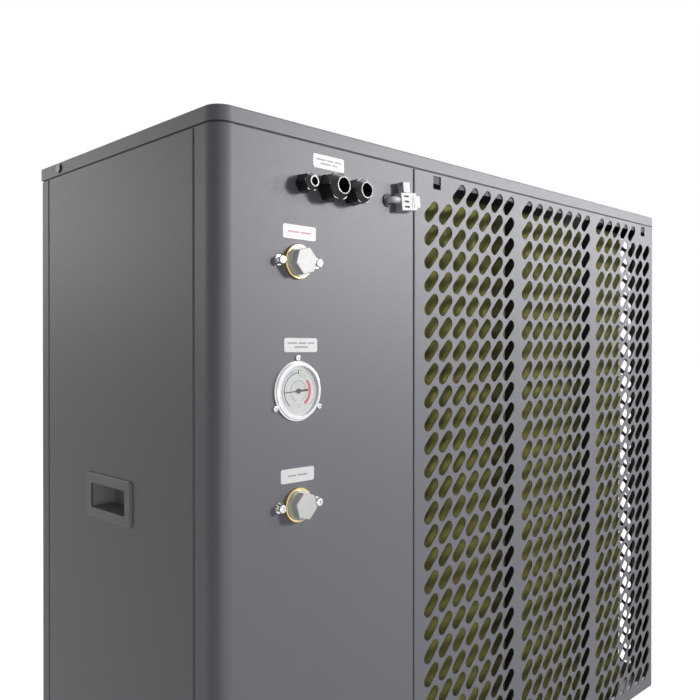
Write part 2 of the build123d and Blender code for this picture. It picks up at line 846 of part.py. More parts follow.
with BuildPart() as gland_nuts:
    for place, flats, length, bore in glands:
        corner = flats / math.sqrt(3)
        nut_low = gland_hex_height + fit_gap
        nut_length = length - nut_low
        with BuildSketch(rear_plane(left + place, gland_height, nut_low)):
            Circle(corner * nut_round_share)
        extrude(amount=nut_length * nut_straight_share)
        with BuildSketch(rear_plane(left + place, gland_height, nut_low + nut_length * nut_straight_share)):
            Circle(corner * nut_shoulder_share)
        with BuildSketch(rear_plane(left + place, gland_height, length)):
            Circle(bore + gland_mouth_lip)
        loft()
with BuildPart() as nut_flats:
    for place, flats, length, bore in glands:
        with BuildSketch(rear_plane(left + place, gland_height, gland_hex_height)):
            RegularPolygon(flats / math.sqrt(3), 6)
            Circle(bore, mode=Mode.SUBTRACT)
        extrude(amount=length)
        with BuildSketch(rear_plane(left + place, gland_height, gland_hex_height)):
            Circle(bore + gland_wall + neck_gap)
        extrude(amount=length / 2 - gland_hex_height + fit_gap, mode=Mode.SUBTRACT)
with gland_nuts:
    add(nut_flats.part, mode=Mode.INTERSECT)
gland_nuts.part.label = "gland_nuts"
export_step(gland_nuts.part, "parts/gland_nuts.step")

# Plug on a short bent cable beside the panel: grommet, cable, body with three slots, and a latch
plug_x = left + plug_place
plug_lift = grommet_lip + plug_cable_bend


def plug_plane(along, up, proud):
    """Sketch plane beside the panel that follows the plug's tilt, with X along the plug."""
    base = Plane(
        origin=(plug_x, rear, plug_height),
        x_dir=(math.cos(math.radians(plug_tilt)), 0, math.sin(math.radians(plug_tilt))),
        z_dir=(0, -1, 0),
    )
    return Plane(origin=base.from_local_coords((along, up, proud)), x_dir=base.x_dir, z_dir=base.z_dir)


with BuildPart() as connector_grommet:
    with BuildSketch(rear_plane(plug_x, plug_height)):
        Circle(grommet_radius)
    extrude(amount=grommet_lip)
    with BuildSketch(rear_plane(plug_x, plug_height)):
        Circle(grommet_radius - grommet_lip)
    extrude(amount=-(sheet + grommet_lip))
    with BuildSketch(rear_plane(plug_x, plug_height, grommet_lip)):
        Circle(plug_cable_radius)
    extrude(amount=-(sheet + 2 * grommet_lip), mode=Mode.SUBTRACT)
connector_grommet.part.label = "connector_grommet"
export_step(connector_grommet.part, "parts/connector_grommet.step")

cable_frame = plug_plane(0, 0, 0)
cable_points = [
    cable_frame.from_local_coords(point)
    for point in (
        (0, 0, -(sheet + grommet_lip)),
        (0, 0, plug_lift),
        (plug_cable_reach, 0, plug_lift),
    )
]
with BuildPart() as connector_cable:
    with BuildLine() as cable_path:
        FilletPolyline(*cable_points, radius=plug_cable_bend)
    with BuildSketch(rear_plane(plug_x, plug_height, -(sheet + grommet_lip))):
        Circle(plug_cable_radius)
    sweep(path=cable_path.wire())
connector_cable.part.label = "connector_cable"
export_step(connector_cable.part, "parts/connector_cable.step")

body_middle = plug_cable_reach + plug_length / 2
nose_middle = plug_cable_reach + plug_length + plug_nose_length / 2
plug_back = plug_lift - plug_thickness / 2
plug_front = plug_lift + plug_thickness / 2
with BuildPart() as connector_body:
    with BuildSketch(plug_plane(body_middle, -plug_body_drop, plug_back)):
        Rectangle(plug_length, plug_rise)
    extrude(amount=plug_thickness)
    chamfer(connector_body.faces().sort_by(Axis.Y)[0].edges(), plug_edge)
    with BuildSketch(plug_plane(nose_middle, -plug_body_drop, plug_lift - plug_nose_thickness / 2)):
        Rectangle(plug_nose_length, plug_nose_rise)
    extrude(amount=plug_nose_thickness)
    with BuildSketch(plug_plane(plug_cable_reach + plug_slot_place, -plug_body_drop, plug_front)):
        with GridLocations(0, plug_slot_pitch, 1, 3):
            Rectangle(plug_slot_length, plug_slot_rise)
    extrude(amount=-plug_slot_depth, mode=Mode.SUBTRACT)
    groove_middle = plug_cable_reach + plug_groove_place + plug_groove_pitch / 2
    with BuildSketch(plug_plane(groove_middle, -plug_body_drop, plug_front)):
        with GridLocations(plug_groove_pitch, 0, 2, 1):
            Rectangle(plug_groove_width, plug_groove_rise)
    extrude(amount=-plug_groove_depth, mode=Mode.SUBTRACT)
connector_body.part.label = "connector_body"
export_step(connector_body.part, "parts/connector_body.step")

latch_middle = plug_cable_reach + latch_place
latch_low = plug_rise / 2 - plug_body_drop
latch_back = plug_front - latch_thickness
latch_top = latch_low + latch_rise
with BuildPart() as connector_latch:
    with BuildSketch(plug_plane(latch_middle, latch_low + latch_rise / 2, latch_back)):
        Rectangle(latch_length, latch_rise)
    extrude(amount=latch_thickness)
    chamfer(connector_latch.faces().sort_by(Axis.Y)[0].edges(), plug_edge)
    hole_along = latch_middle - latch_length / 2 + latch_hole_depth / 2
    hole_proud = plug_front - (latch_thickness + latch_hole_length) / 2
    with BuildSketch(plug_plane(hole_along, latch_top - latch_hole_drop, hole_proud)):
        Rectangle(latch_hole_depth, latch_hole_rise)
    extrude(amount=latch_hole_length, mode=Mode.SUBTRACT)
connector_latch.part.label = "connector_latch"
export_step(connector_latch.part, "parts/connector_latch.step")

# Water connections: brass fittings with hexagon caps, and the screws beside them
water_x = left + water_place
for name, height, turn in (
    ("outlet", outlet_height, outlet_cap_turn),
    ("inlet", inlet_height, inlet_cap_turn),
):
    with BuildPart() as fitting:
        with BuildSketch(rear_plane(water_x, height, -fitting_inside)):
            Circle(fitting_radius)
        extrude(amount=fitting_inside + fitting_proud)
        chamfer(fitting.faces().sort_by(Axis.Y)[0].edges(), cap_edge)
        with BuildSketch(rear_plane(water_x, height, -fitting_inside)):
            Circle(fitting_bore)
        extrude(amount=fitting_inside + fitting_proud, mode=Mode.SUBTRACT)
    fitting.part.label = f"{name}_fitting"
    export_step(fitting.part, f"parts/{name}_fitting.step")

    with BuildPart() as cap:
        with BuildSketch(rear_plane(water_x, height, fitting_proud)):
            Circle(cap_disc_radius)
        extrude(amount=cap_disc)
        with BuildSketch(rear_plane(water_x, height, fitting_proud + cap_disc)):
            RegularPolygon(cap_flats / math.sqrt(3), 6, rotation=turn)
        extrude(amount=cap_hex)
        chamfer(cap.faces().sort_by(Axis.Y)[0].edges(), cap_edge)
        with BuildSketch(rear_plane(water_x, height, fitting_proud)):
            Circle(fitting_bore - fit_gap)
        extrude(amount=-cap_plug)
    cap.part.label = f"{name}_cap"
    export_step(cap.part, f"parts/{name}_cap.step")

with BuildPart() as water_screws:
    for height in (outlet_height, inlet_height):
        with BuildSketch(rear_plane(water_x, height, water_screw_proud - water_screw_length)):
            with GridLocations(water_screw_spacing, 0, 2, 1):
                Circle(water_screw_radius)
        extrude(amount=water_screw_length)
        with BuildSketch(rear_plane(water_x, height)):
            with GridLocations(water_screw_spacing, 0, 2, 1):
                Circle(water_washer_radius)
        extrude(amount=water_washer)
        with BuildSketch(rear_plane(water_x, height, water_screw_proud - water_screw_head)):
            with GridLocations(water_screw_spacing, 0, 2, 1):
                Circle(water_screw_head_radius)
        extrude(amount=water_screw_head)
    heads = water_screws.faces().filter_by(Plane.XZ).group_by(Axis.Y)[0]
    fillet(heads.edges(), water_screw_head * 0.45)
    for height in (outlet_height, inlet_height):
        with BuildSketch(rear_plane(water_x, height, water_screw_proud)):
            with GridLocations(water_screw_spacing, 0, 2, 1):
                Rectangle(water_recess_reach, water_recess_width)
                Rectangle(water_recess_width, water_recess_reach)
        extrude(amount=-water_recess_depth, mode=Mode.SUBTRACT)
water_screws.part.label = "water_screws"
export_step(water_screws.part, "parts/water_screws.step")

# Pressure gauge: case with its bezel, dial, pointer, glass and screws
gauge_floor = gauge_proud - gauge_glass_drop - gauge_glass - gauge_dial - 3 * gauge_pointer_sheet
dial_radius = gauge_radius - gauge_rim
with BuildPart() as gauge_case:
    with BuildSketch(rear_plane(water_x, gauge_height)):
        Circle(gauge_radius)
    extrude(amount=gauge_proud)
    fillet(gauge_case.faces().sort_by(Axis.Y)[0].edges(), gauge_rim * 0.4)
    with BuildSketch(rear_plane(water_x, gauge_height)):
        Circle(gauge_flange_radius)
    extrude(amount=gauge_flange)
    with BuildSketch(rear_plane(water_x, gauge_height)):
        Circle(gauge_case_radius)
    extrude(amount=-gauge_case_depth)
    with BuildSketch(rear_plane(water_x, gauge_height, gauge_floor)):
        Circle(dial_radius + fit_gap)
    extrude(amount=gauge_proud - gauge_floor, mode=Mode.SUBTRACT)
gauge_case.part.label = "gauge_case"
export_step(gauge_case.part, "parts/gauge_case.step")

with BuildPart() as gauge_dial_plate:
    with BuildSketch(rear_plane(water_x, gauge_height, gauge_floor)):
        Circle(dial_radius)
    extrude(amount=gauge_dial)
gauge_dial_plate.part.label = "gauge_dial"
export_step(gauge_dial_plate.part, "parts/gauge_dial.step")

with BuildPart() as gauge_pointer:
    dial_face = gauge_floor + gauge_dial
    with BuildSketch(rear_plane(water_x, gauge_height, dial_face)):
        Circle(gauge_hub_radius)
    extrude(amount=2 * gauge_pointer_sheet)
    with BuildSketch(rear_plane(water_x, gauge_height, dial_face + gauge_pointer_sheet)):
        with Locations(Location((0, 0), gauge_pointer_angle)):
            with Locations((gauge_pointer_reach / 2, 0)):
                Rectangle(gauge_pointer_reach, gauge_pointer_width)
            with Locations((-gauge_tail_reach / 2, 0)):
                Rectangle(gauge_tail_reach, gauge_tail_width)
    extrude(amount=gauge_pointer_sheet)
gauge_pointer.part.label = "gauge_pointer"
export_step(gauge_pointer.part, "parts/gauge_pointer.step")

with BuildPart() as gauge_glass_disc:
    with BuildSketch(rear_plane(water_x, gauge_height, gauge_proud - gauge_glass_drop - gauge_glass)):
        Circle(dial_radius)
    extrude(amount=gauge_glass)
gauge_glass_disc.part.label = "gauge_glass"
export_step(gauge_glass_disc.part, "parts/gauge_glass.step")

with BuildPart() as gauge_screws:
    with BuildSketch(rear_plane(water_x, gauge_height)):
        with PolarLocations(gauge_screw_circle / 2, 3, start_angle=90):
            Circle(gauge_screw_head_radius)
    extrude(amount=gauge_screw_head)
    with BuildSketch(rear_plane(water_x, gauge_height)):
        with PolarLocations(gauge_screw_circle / 2, 3, start_angle=90):
            Circle(gauge_screw_radius)
    extrude(amount=-3 * sheet)
    heads = gauge_screws.faces().filter_by(Plane.XZ).group_by(Axis.Y)[0]
    fillet(heads.edges(), gauge_screw_head * 0.45)
    with BuildSketch(rear_plane(water_x, gauge_height, gauge_screw_head)):
        with PolarLocations(gauge_screw_circle / 2, 3, start_angle=90):
            Rectangle(gauge_recess_reach, gauge_recess_width)
            Rectangle(gauge_recess_width, gauge_recess_reach)
    extrude(amount=-gauge_recess_depth, mode=Mode.SUBTRACT)
gauge_screws.part.label = "gauge_screws"
export_step(gauge_screws.part, "parts/gauge_screws.step")
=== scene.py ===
import bpy
import bmesh
import math
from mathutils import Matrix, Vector


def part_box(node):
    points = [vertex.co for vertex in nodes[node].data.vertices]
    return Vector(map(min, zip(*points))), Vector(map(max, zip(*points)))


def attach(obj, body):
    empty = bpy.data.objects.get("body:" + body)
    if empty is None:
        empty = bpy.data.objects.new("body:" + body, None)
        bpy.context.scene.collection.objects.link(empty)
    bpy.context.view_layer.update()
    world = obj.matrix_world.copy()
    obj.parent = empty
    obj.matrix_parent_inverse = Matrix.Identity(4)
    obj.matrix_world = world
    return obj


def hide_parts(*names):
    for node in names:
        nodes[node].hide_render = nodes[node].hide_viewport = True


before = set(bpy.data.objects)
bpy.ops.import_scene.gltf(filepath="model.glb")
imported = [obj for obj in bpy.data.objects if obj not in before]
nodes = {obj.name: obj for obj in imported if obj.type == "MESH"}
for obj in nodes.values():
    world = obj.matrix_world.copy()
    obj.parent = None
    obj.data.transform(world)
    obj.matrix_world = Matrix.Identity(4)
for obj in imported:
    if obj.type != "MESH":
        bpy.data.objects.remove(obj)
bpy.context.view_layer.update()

# Lengths are in metres and angles in degrees, unless said otherwise. What the frame gives is read
# from it, and the rest is named here.
MM = 0.001
cabinet_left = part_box("top_cover")[0].x
lid_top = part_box("top_cover")[1].z
rear_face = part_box("service_panel")[0].y

# Camera, from the fit to the photograph's slots, seams and lid lines. Its place is measured from the
# cabinet's left edge, from the photographed face and from the floor.
CAMERA_PLACE = (-0.4703, -0.6806, 0.7191)
CAMERA_YAW = 44.506
CAMERA_PITCH = 0.18
CAMERA_FOCAL = 771.73
FRAME_WIDTH = 700
SENSOR_WIDTH = 36.0

# Coil
COIL_THICKNESS = 44 * MM
COIL_OUTER_RADIUS = 91 * MM
FIN_PITCH = 2.1 * MM
FIN_SHEET = 0.16 * MM
TUBE_PITCH = 25.4 * MM

# Fan guard. A spoke starts inside the disc, at a share of its radius.
GUARD_WIRE = 3.2 * MM
GUARD_PITCH = 17 * MM
GUARD_DISC = 46 * MM
GUARD_SPOKES = 8
SPOKE_START_SHARE = 0.9
RING_STEPS = 96
DISC_STEPS = 64
WIRE_SIDES = 8
NEARLY_PARALLEL = 0.01

# Stickers beside the connections, and the strokes on them
STICKER_WIDTH = 50.5 * MM
STICKER_HEIGHT = 16.4 * MM
STICKER_SHEET = 0.25 * MM
STICKER_CORNER = 2.6 * MM
CORNER_STEPS = 6
PRINT_SHEET = 0.05 * MM
STROKE_HEIGHT = 1.7 * MM
STROKE_CORNER = STROKE_HEIGHT / 3
STROKE_CORNER_STEPS = 2
STROKE_GAP = 2.2 * MM
LINE_STEP = 4.6 * MM

# Gauge dial, with radii in mm: ticks run inwards from the outer arc, and every fifth one is long
DIAL_ARC_RADIUS = 24.2
LONG_TICK_RADIUS = 22.1
SHORT_TICK_RADIUS = 23.3
TICK_COUNT = 31
TICK_FIRST = 225
TICK_STEP = 9
TICK_HALF_WIDTH = 0.5
LONG_TICK_EVERY = 5
ARC_STEP = 3

# Stage: the world's strength on the object, and the floor. Its colour is one for the light that it
# bounces and one as it is seen, and its glow rises from the first to the last value between two distances.
WORLD_LIGHT = 0.09
FLOOR_HALF = 30.0
FLOOR_ROUGHNESS = 0.9
FLOOR_BOUNCE = (0.16, 0.16, 0.16, 1)
FLOOR_SEEN = (0.6, 0.6, 0.6, 1)
FLOOR_GLOW = (0.84, 1.0)
FLOOR_REACH = (0.9, 2.4)

# Lamps: place, the point that it faces, side, power and the spread of its beam
LAMPS = {
    "key": ((1.92, -2.75, 1.65), (0.1, -0.2, 1.25), 0.45, 13.9, 70),
    "right": ((3.1, -2.0, 1.5), (0.5, -0.2, 1.4), 0.8, 4.6, 60),
    "side": ((-1.9, 2.6, 1.4), (-0.5, 0.0, 1.4), 0.8, 1.6, 60),
    "fill": ((-1.2, -2.4, 0.25), (-0.4, -0.2, 0.2), 1.0, 3.3, 90),
    "above": ((0.4, 0.6, 3.2), (0.0, 0.1, 0.9), 1.6, 14.0, 120),
    "fan_side": ((1.4, 3.0, 1.9), (0.1, 0.2, 0.6), 1.0, 24.0, 120),
}


# Shader nodes

def new_material(name, color, roughness, metallic=0.0):
    """Principled material with its fixed values on the shader's own sockets."""
    material = bpy.data.materials.new(name)
    material.use_nodes = True
    shader = material.node_tree.nodes["Principled BSDF"]
    shader.inputs["Base Color"].default_value = (*color, 1.0)
    shader.inputs["Roughness"].default_value = roughness
    shader.inputs["Metallic"].default_value = metallic
    return material, material.node_tree, shader


def place_node(tree, kind, **values):
    """New shader node with some of its inputs or settings filled in."""
    node = tree.nodes.new(kind)
    for key, value in values.items():
        if key in node.inputs:
            node.inputs[key].default_value = value
        else:
            setattr(node, key, value)
    return node


def noise(tree, scale, detail):
    """Noise over the object's own coordinates, in metres."""
    place = place_node(tree, "ShaderNodeTexCoord")
    texture = place_node(tree, "ShaderNodeTexNoise", Scale=scale, Detail=detail, Roughness=0.5)
    tree.links.new(place.outputs["Object"], texture.inputs["Vector"])
    return texture.outputs["Fac"]


def spread(tree, source, given, wanted):
    """A value moved from one range to another, and held at the ends."""
    node = place_node(tree, "ShaderNodeMapRange")
    for key, value in zip(("From Min", "From Max", "To Min", "To Max"), (*given, *wanted)):
        node.inputs[key].default_value = value
    tree.links.new(source, node.inputs["Value"])
    return node.outputs["Result"]


def combine(tree, operation, first, second):
    """Result of one maths operation on two values."""
    node = place_node(tree, "ShaderNodeMath", operation=operation)
    tree.links.new(first, node.inputs[0])
    tree.links.new(second, node.inputs[1])
    return node.outputs["Value"]


def vary_color(tree, shader, fac, low, high, start=0.3, stop=0.7):
    """Base colour that runs from low to high with fac."""
    ramp = place_node(tree, "ShaderNodeValToRGB")
    for element, position, color in zip(ramp.color_ramp.elements, (start, stop), (low, high)):
        element.position = position
        element.color = (*color, 1.0)
    tree.links.new(fac, ramp.inputs["Fac"])
    tree.links.new(ramp.outputs["Color"], shader.inputs["Base Color"])


def mottle(tree, shader, color, share, scale, detail):
    """Base colour that wavers by a share of itself."""
    vary_color(tree, shader, noise(tree, scale, detail), shade(color, 1 - share), shade(color, 1 + share))


def vary_roughness(tree, shader, fac, low, high):
    """Roughness that runs from low to high with fac."""
    tree.links.new(spread(tree, fac, (0.3, 0.7), (low, high)), shader.inputs["Roughness"])


def add_bump(tree, shader, height, strength, distance):
    """Bump on the shader's normal."""
    bump = place_node(tree, "ShaderNodeBump", Strength=strength, Distance=distance)
    tree.links.new(height, bump.inputs["Height"])
    tree.links.new(bump.outputs["Normal"], shader.inputs["Normal"])


def shade(color, factor):
    """A colour made lighter or darker."""
    return tuple(min(1.0, channel * factor) for channel in color)


# Materials

def powder_coat(name, color, roughness):
    """Fine-textured powder coat: faint mottling and an orange-peel surface."""
    material, tree, shader = new_material(name, color, roughness)
    mottle(tree, shader, color, share=0.015, scale=9.0, detail=4.0)
    waver = noise(tree, scale=220.0, detail=2.0)
    vary_roughness(tree, shader, waver, roughness - 0.015, roughness + 0.02)
    add_bump(tree, shader, noise(tree, scale=1400.0, detail=2.0), strength=0.08, distance=0.15 * MM)
    return material


def moulded_plastic(name, color, roughness, grain=0.08):
    """Moulded plastic with a fine spark-eroded grain."""
    material, tree, shader = new_material(name, color, roughness)
    mottle(tree, shader, color, share=0.04, scale=70.0, detail=2.0)
    waver = noise(tree, scale=150.0, detail=3.0)
    vary_roughness(tree, shader, waver, roughness - 0.04, roughness + 0.05)
    add_bump(tree, shader, noise(tree, scale=2200.0, detail=2.0), strength=grain, distance=0.1 * MM)
    return material


def bright_metal(name, color, roughness):
    """Plated or drawn metal with fine marks."""
    material, tree, shader = new_material(name, color, roughness, metallic=1.0)
    mottle(tree, shader, color, share=0.06, scale=120.0, detail=3.0)
    waver = noise(tree, scale=300.0, detail=3.0)
    vary_roughness(tree, shader, waver, roughness * 0.8, roughness * 1.3)
    add_bump(tree, shader, noise(tree, scale=900.0, detail=2.0), strength=0.05, distance=0.05 * MM)
    return material


def galvanised(name, color):
    """Zinc-coated sheet with spangles."""
    material, tree, shader = new_material(name, color, roughness=0.42, metallic=0.85)
    place = place_node(tree, "ShaderNodeTexCoord")
    cells = place_node(tree, "ShaderNodeTexVoronoi", Scale=110.0)
    tree.links.new(place.outputs["Object"], cells.inputs["Vector"])
    dark, light = shade(color, 0.8), shade(color, 1.1)
    vary_color(tree, shader, cells.outputs["Distance"], dark, light, start=0.1, stop=0.9)
    vary_roughness(tree, shader, noise(tree, scale=45.0, detail=3.0), low=0.34, high=0.5)
    add_bump(tree, shader, noise(tree, scale=700.0, detail=2.0), strength=0.05, distance=0.1 * MM)
    return material


def coated_fins(name, color):
    """Gold water-shedding coat with random tone, and painted shade as a darker band at each row of tubes,
    which are not built.
    """
    material, tree, shader = new_material(name, color, roughness=0.5, metallic=0.35)
    place = place_node(tree, "ShaderNodeTexCoord")
    # Painted shade: the wave's dark bands stand for the shade at the unbuilt tubes, and are mixed with
    # noise for random tone.
    bands = place_node(tree, "ShaderNodeTexWave", bands_direction="Z", wave_profile="SIN", Distortion=0.6)
    # This texture repeats once in pi / (10 * scale)
    bands.inputs["Scale"].default_value = math.pi / (10 * TUBE_PITCH)
    bands.inputs["Detail Scale"].default_value = 4.0
    tree.links.new(place.outputs["Object"], bands.inputs["Vector"])
    mix = place_node(tree, "ShaderNodeMix", data_type="FLOAT")
    mix.inputs["Factor"].default_value = 0.45
    tree.links.new(bands.outputs["Fac"], mix.inputs["A"])
    tree.links.new(noise(tree, scale=35.0, detail=4.0), mix.inputs["B"])
    dark, light = shade(color, 0.62), shade(color, 1.25)
    vary_color(tree, shader, mix.outputs["Result"], dark, light, start=0.1, stop=0.9)
    vary_roughness(tree, shader, noise(tree, scale=80.0, detail=3.0), low=0.42, high=0.6)
    return material


def clear_glass(name, color):
    """Thin clear glass with faint smears."""
    material, tree, shader = new_material(name, color, roughness=0.04)
    shader.inputs["Alpha"].default_value = 0.05
    vary_roughness(tree, shader, noise(tree, scale=90.0, detail=2.0), low=0.02, high=0.06)
    return material


paint = powder_coat("cabinet_paint", (0.166, 0.164, 0.188), 0.5)
# Near-black paint on the corner posts, top rails and guard stiffeners is painted shade: it makes the gap
# under the lid and the corners behind the guard as dark as their shade.
painted_shade_black = powder_coat("frame_painted_shade_black", (0.006, 0.006, 0.007), 0.6)
wire_paint = powder_coat("guard_wire", (0.03, 0.03, 0.032), 0.4)
handle_plastic = moulded_plastic("handle_plastic", (0.17, 0.171, 0.18), 0.45)
black_plastic = moulded_plastic("black_nylon", (0.005, 0.005, 0.006), 0.34)
black_screw = powder_coat("black_fastener", (0.01, 0.01, 0.011), 0.38)
black_rubber = moulded_plastic("black_rubber", (0.01, 0.01, 0.01), 0.6)
white_plastic = moulded_plastic("white_plastic", (0.80, 0.80, 0.795), 0.40, grain=0.03)
pale_plastic = moulded_plastic("light_grey_plastic", (0.62, 0.63, 0.65), 0.42, grain=0.04)
pale_sheath = moulded_plastic("light_grey_sheath", (0.66, 0.66, 0.68), 0.42, grain=0.04)
fan_plastic = moulded_plastic("fan_plastic", (0.03, 0.03, 0.033), 0.4)
brass = bright_metal("brass", (0.83, 0.66, 0.33), 0.24)
chrome = bright_metal("bright_plate", (0.83, 0.83, 0.84), 0.14)
screw_steel = bright_metal("bright_screw", (0.72, 0.72, 0.74), 0.2)
copper = bright_metal("copper_tube", (0.75, 0.38, 0.24), 0.28)
cast = bright_metal("motor_casting", (0.33, 0.34, 0.35), 0.5)
zinc = galvanised("galvanised_steel", (0.52, 0.53, 0.54))
gold_fins = coated_fins("coated_fins", (0.50, 0.48, 0.20))
dial_white = moulded_plastic("dial_white", (0.84, 0.84, 0.85), 0.5, grain=0.02)
pointer_black = powder_coat("pointer_black", (0.01, 0.01, 0.01), 0.5)
sticker_white = moulded_plastic("sticker_white", (0.93, 0.93, 0.94), 0.45, grain=0.02)
print_grey = moulded_plastic("print_grey", (0.42, 0.42, 0.45), 0.6)
print_pink = moulded_plastic("print_pink", (0.72, 0.42, 0.52), 0.6)
arc_red = moulded_plastic("arc_red", (0.72, 0.09, 0.11), 0.5)
arc_green = moulded_plastic("arc_green", (0.62, 0.78, 0.6), 0.5)
arc_grey = moulded_plastic("arc_grey", (0.16, 0.18, 0.2), 0.5)
clear = clear_glass("gauge_glass", (0.9, 0.93, 0.93))

NODE_MATERIALS = {
    "base_pan": zinc,
    "foot_rail_left": paint,
    "foot_rail_right": paint,
    "corner_posts": painted_shade_black,
    "top_rails": painted_shade_black,
    "top_cover": paint,
    "lid_screws": black_screw,
    "service_panel": paint,
    "coil_guard": paint,
    "guard_stiffeners": painted_shade_black,
    "left_side_panel": paint,
    "right_side_panel": paint,
    "handle_left": handle_plastic,
    "handle_right": handle_plastic,
    "front_service_panel": paint,
    "front_fan_panel": paint,
    "partition_plate": zinc,
    "coil_fin_pack": gold_fins,
    "coil_plate_inner": zinc,
    "coil_plate_outer": zinc,
    "coil_return_bends": copper,
    "fan_bellmouth": paint,
    "fan_guard": wire_paint,
    "fan_impeller": fan_plastic,
    "fan_motor": cast,
    "motor_bracket": zinc,
    "gland_bodies": black_plastic,
    "gland_nuts": black_plastic,
    "connector_body": pale_plastic,
    "connector_latch": pale_plastic,
    "connector_cable": pale_sheath,
    "connector_grommet": black_rubber,
    "outlet_fitting": brass,
    "inlet_fitting": brass,
    "outlet_cap": white_plastic,
    "inlet_cap": white_plastic,
    "water_screws": screw_steel,
    "gauge_case": chrome,
    "gauge_dial": dial_white,
    "gauge_pointer": pointer_black,
    "gauge_glass": clear,
    "gauge_screws": screw_steel,
}


def dress_nodes():
    """Give every CAD node its material."""
    for name, material in NODE_MATERIALS.items():
        for slot in nodes[name].material_slots:
            slot.material = material


def mesh_piece(shape, name, material, replaced=()):
    """Turn a bmesh into a piece that rides on the cabinet."""
    mesh = bpy.data.meshes.new(name)
    shape.to_mesh(mesh)
    shape.free()
    piece = bpy.data.objects.new(name, mesh)
    bpy.context.scene.collection.objects.link(piece)
    mesh.materials.append(material)
    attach(piece, "root")
    if replaced:
        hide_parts(*replaced)
    return piece


# Coil: plain fins along the bent pack's middle line

def coil_station(distance, low, high):
    """Point on the coil's middle line and the direction along it, at a distance from its free end."""
    middle_y = low.y + COIL_THICKNESS / 2
    middle_x = high.x - COIL_THICKNESS / 2
    radius = COIL_OUTER_RADIUS - COIL_THICKNESS / 2
    straight = middle_x - radius - low.x
    arc = radius * math.pi / 2
    if distance < straight:
        return Vector((low.x + distance, middle_y, 0)), Vector((1, 0, 0))
    if distance < straight + arc:
        turn = (distance - straight) / radius
        centre = Vector((middle_x - radius, middle_y + radius, 0))
        return (
            centre + radius * Vector((math.sin(turn), -math.cos(turn), 0)),
            Vector((math.cos(turn), math.sin(turn), 0)),
        )
    return (
        Vector((middle_x, middle_y + radius + distance - straight - arc, 0)),
        Vector((0, 1, 0)),
    )


def build_fins():
    """One thin upright plate at each fin's place."""
    low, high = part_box("coil_fin_pack")
    radius = COIL_OUTER_RADIUS - COIL_THICKNESS / 2
    straight = high.x - COIL_THICKNESS / 2 - radius - low.x
    side = high.y - low.y - COIL_THICKNESS / 2 - radius
    length = straight + radius * math.pi / 2 + side
    count = int(length / FIN_PITCH)
    shape = bmesh.new()
    for index in range(count):
        point, along = coil_station((index + 0.5) * length / count, low, high)
        out = Vector((along.y, -along.x, 0))
        corners = []
        for height in (low.z, high.z):
            for across, side_step in ((-1, -1), (1, -1), (1, 1), (-1, 1)):
                step = across * out * COIL_THICKNESS / 2 + side_step * along * FIN_SHEET / 2
                corners.append(shape.verts.new(point + step + Vector((0, 0, height))))
        for face in ((0, 3, 2, 1), (4, 5, 6, 7), (0, 1, 5, 4), (1, 2, 6, 5), (2, 3, 7, 6), (3, 0, 4, 7)):
            shape.faces.new([corners[corner] for corner in face])
    mesh_piece(shape, "coil_fins", gold_fins, ["coil_fin_pack"])


# Stickers: rounded plates with a few plain strokes in place of print. Each has its middle's distance
# in mm from the cabinet's left edge and below the lid's top, the ink, and for each line the strokes'
# shares of the width.

STICKERS = {
    "cables": (162.9, 39.1, print_grey, ((0.30, 0.20, 0.22), (0.34, 0.16))),
    "outlet": (116.5, 127.2, print_pink, ((0.34, 0.32),)),
    "gauge": (118.6, 258.0, print_grey, ((0.28, 0.24, 0.20), (0.40,))),
    "inlet": (113.5, 408.6, print_grey, ((0.24, 0.30),)),
}


def rounded_plate(shape, centre, width, height, corner, low, high, steps):
    """Rounded rectangle on the photographed face, from depth low to depth high."""
    rings = []
    for depth in (low, high):
        ring = []
        for turn_x, turn_z, start in ((1, 1, 0), (-1, 1, 90), (-1, -1, 180), (1, -1, 270)):
            for step in range(steps + 1):
                angle = math.radians(start + 90 * step / steps)
                x = centre[0] + turn_x * (width / 2 - corner) + corner * math.cos(angle)
                z = centre[1] + turn_z * (height / 2 - corner) + corner * math.sin(angle)
                ring.append(shape.verts.new((x, depth, z)))
        rings.append(ring)
    back, front_ring = rings
    shape.faces.new(front_ring)
    shape.faces.new(list(reversed(back)))
    for index in range(len(back)):
        after = (index + 1) % len(back)
        shape.faces.new((back[index], back[after], front_ring[after], front_ring[index]))
    bmesh.ops.recalc_face_normals(shape, faces=shape.faces)


def build_sticker(name, place, drop, ink, lines):
    """One sticker and the strokes on it, which are centred line by line."""
    centre = (cabinet_left + place * MM, lid_top - drop * MM)
    skin = rear_face - STICKER_SHEET
    shape = bmesh.new()
    rounded_plate(
        shape, centre, STICKER_WIDTH, STICKER_HEIGHT, STICKER_CORNER, rear_face, skin, CORNER_STEPS,
    )
    mesh_piece(shape, f"sticker_{name}", sticker_white)
    shape = bmesh.new()
    for row, strokes in enumerate(lines):
        height = centre[1] + ((len(lines) - 1) / 2 - row) * LINE_STEP
        length = sum(strokes) * STICKER_WIDTH + (len(strokes) - 1) * STROKE_GAP
        start = centre[0] - length / 2
        for stroke in strokes:
            reach = stroke * STICKER_WIDTH
            middle = (start + reach / 2, height)
            rounded_plate(
                shape, middle, reach, STROKE_HEIGHT, STROKE_CORNER, skin, skin - PRINT_SHEET,
                STROKE_CORNER_STEPS,
            )
            start += reach + STROKE_GAP
    mesh_piece(shape, f"strokes_{name}", ink)


# Gauge dial: each piece's ink and its bands, as inner and outer radius in mm, and first and last angle
# from the right, anticlockwise

